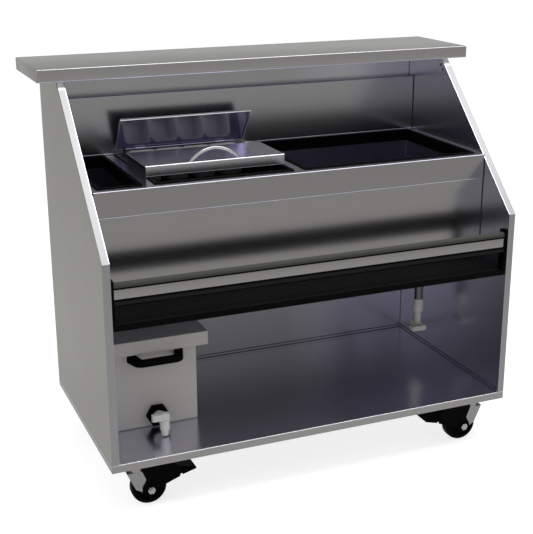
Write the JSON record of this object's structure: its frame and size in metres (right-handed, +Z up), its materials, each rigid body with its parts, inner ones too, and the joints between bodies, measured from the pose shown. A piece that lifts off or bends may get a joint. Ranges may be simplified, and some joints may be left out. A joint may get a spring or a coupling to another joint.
{
  "type": "mobile bar",
  "caption": "Mobile stainless bar on swivel casters with insulated wells, sliding cover, hinged condiment lid, speed rail, water tank with tap and a raised counter.",
  "frame": {"origin": "on the floor under the middle of the bar's outer box", "axes": "+X along the counter to the bartender's right, +Y from the bartender's open side to the customer's side, +Z up"},
  "size_m": [1.328, 0.68, 1.15],
  "materials": {
    "outer_steel": "brushed stainless sheet, outer faces",
    "inner_steel": "satin stainless sheet, inner faces",
    "zinc_steel": "bright zinc plated steel",
    "black_plastic": "black moulded plastic",
    "black_rubber": "black rubber wheel",
    "white_plastic": "off-white moulded plastic",
    "foam": "rigid foam, hidden inside the bins",
    "board": "board, hidden inside the counter"
  },
  "bodies": {
    "cabinet": {"base_pan": "outer_steel", "left_panel": "outer_steel", "right_panel": "outer_steel", "customer_panel": "outer_steel", "counter_top": "outer_steel", "panel_screws": "outer_steel", "left_liner": "inner_steel", "right_liner": "inner_steel", "rear_liner": "inner_steel", "work_deck": "inner_steel", "backsplash": "inner_steel", "front_apron": "inner_steel", "bin_jacket": "inner_steel", "rail_band": "inner_steel", "condiment_holder": "inner_steel", "lid_hinge_pin": "inner_steel", "drain_strainer": "inner_steel", "drain_pipe": "inner_steel", "left_well_liner": "inner_steel", "middle_well_liner": "inner_steel", "right_well_liner": "inner_steel", "base_channels": "zinc_steel", "caster_plates": "zinc_steel", "caster_bolts": "zinc_steel", "left_well_collar": "black_plastic", "middle_well_collar": "black_plastic", "right_well_collar": "black_plastic", "rail_tray": "black_plastic", "rail_bar": "black_plastic", "rail_posts": "black_plastic", "drain_tap": "white_plastic", "condiment_pans": "white_plastic", "bin_insulation": "foam", "counter_core": "board"},
    "cover": {"bin_cover": "inner_steel", "cover_handle": "inner_steel"},
    "lid": {"condiment_lid": "inner_steel"},
    "tank": {"tank_body": "white_plastic", "tank_handle": "black_plastic", "tap_body": "white_plastic", "tap_nut": "black_plastic"},
    "tank_cap": {"tank_lid": "white_plastic"},
    "tap_lever": {"tap_handle": "white_plastic"},
    "drain_lever": {"drain_handle": "white_plastic"},
    "caster_front_left": {"caster_fork_front_left": "zinc_steel", "caster_axle_front_left": "zinc_steel", "brake_housing_front_left": "black_plastic"},
    "wheel_front_left": {"caster_wheel_front_left": "black_rubber"},
    "caster_front_right": {"caster_fork_front_right": "zinc_steel", "caster_axle_front_right": "zinc_steel", "brake_housing_front_right": "black_plastic"},
    "wheel_front_right": {"caster_wheel_front_right": "black_rubber"},
    "caster_rear_left": {"caster_fork_rear_left": "zinc_steel", "caster_axle_rear_left": "zinc_steel"},
    "wheel_rear_left": {"caster_wheel_rear_left": "black_rubber"},
    "caster_rear_right": {"caster_fork_rear_right": "zinc_steel", "caster_axle_rear_right": "zinc_steel"},
    "wheel_rear_right": {"caster_wheel_rear_right": "black_rubber"},
    "pedal_front_left": {"brake_pedal_front_left": "black_plastic"},
    "pedal_front_right": {"brake_pedal_front_right": "black_plastic"}
  },
  "joints": [
    {"name": "cover_slide", "type": "slide", "parent": "cabinet", "child": "cover", "axis": [0, -1, 0], "range_m": [0, 0.072]},
    {"name": "lid_hinge", "type": "hinge", "parent": "cabinet", "child": "lid", "pos_m": [-0.2125, 0.222, 0.8801], "axis": [-1, 0, 0], "range_deg": [-55, 33]},
    {"name": "tank_slide", "type": "slide", "parent": "cabinet", "child": "tank", "axis": [0, -1, 0], "range_m": [0, 0.6]},
    {"name": "tank_lid_lift", "type": "slide", "parent": "tank", "child": "tank_cap", "axis": [0, 0, 1], "range_m": [0, 0.08]},
    {"name": "tap_turn", "type": "hinge", "parent": "tank", "child": "tap_lever", "pos_m": [-0.4255, -0.223, 0.196], "axis": [0, 0, 1], "range_deg": [0, 90]},
    {"name": "drain_turn", "type": "hinge", "parent": "cabinet", "child": "drain_lever", "pos_m": [0.509, 0.011, 0.267], "axis": [0, -1, 0], "range_deg": [0, 90]},
    {"name": "swivel_front_left", "type": "hinge", "parent": "cabinet", "child": "caster_front_left", "pos_m": [-0.5295, -0.2755, 0.124], "axis": [0, 0, 1], "continuous": true},
    {"name": "roll_front_left", "type": "hinge", "parent": "caster_front_left", "child": "wheel_front_left", "pos_m": [-0.4955, -0.2755, 0.05], "axis": [0, 1, 0], "continuous": true},
    {"name": "brake_front_left", "type": "hinge", "parent": "caster_front_left", "child": "pedal_front_left", "pos_m": [-0.427, -0.2755, 0.095], "axis": [0, 1, 0], "range_deg": [0, 18]},
    {"name": "swivel_front_right", "type": "hinge", "parent": "cabinet", "child": "caster_front_right", "pos_m": [0.5295, -0.2755, 0.124], "axis": [0, 0, 1], "continuous": true},
    {"name": "roll_front_right", "type": "hinge", "parent": "caster_front_right", "child": "wheel_front_right", "pos_m": [0.4955, -0.2755, 0.05], "axis": [0, 1, 0], "continuous": true},
    {"name": "brake_front_right", "type": "hinge", "parent": "caster_front_right", "child": "pedal_front_right", "pos_m": [0.427, -0.2755, 0.095], "axis": [0, -1, 0], "range_deg": [0, 18]},
    {"name": "swivel_rear_left", "type": "hinge", "parent": "cabinet", "child": "caster_rear_left", "pos_m": [-0.5295, 0.2255, 0.124], "axis": [0, 0, 1], "continuous": true},
    {"name": "roll_rear_left", "type": "hinge", "parent": "caster_rear_left", "child": "wheel_rear_left", "pos_m": [-0.4955, 0.2255, 0.05], "axis": [0, 1, 0], "continuous": true},
    {"name": "swivel_rear_right", "type": "hinge", "parent": "cabinet", "child": "caster_rear_right", "pos_m": [0.5295, 0.2255, 0.124], "axis": [0, 0, 1], "continuous": true},
    {"name": "roll_rear_right", "type": "hinge", "parent": "caster_rear_right", "child": "wheel_rear_right", "pos_m": [0.4955, 0.2255, 0.05], "axis": [0, 1, 0], "continuous": true}
  ]
}
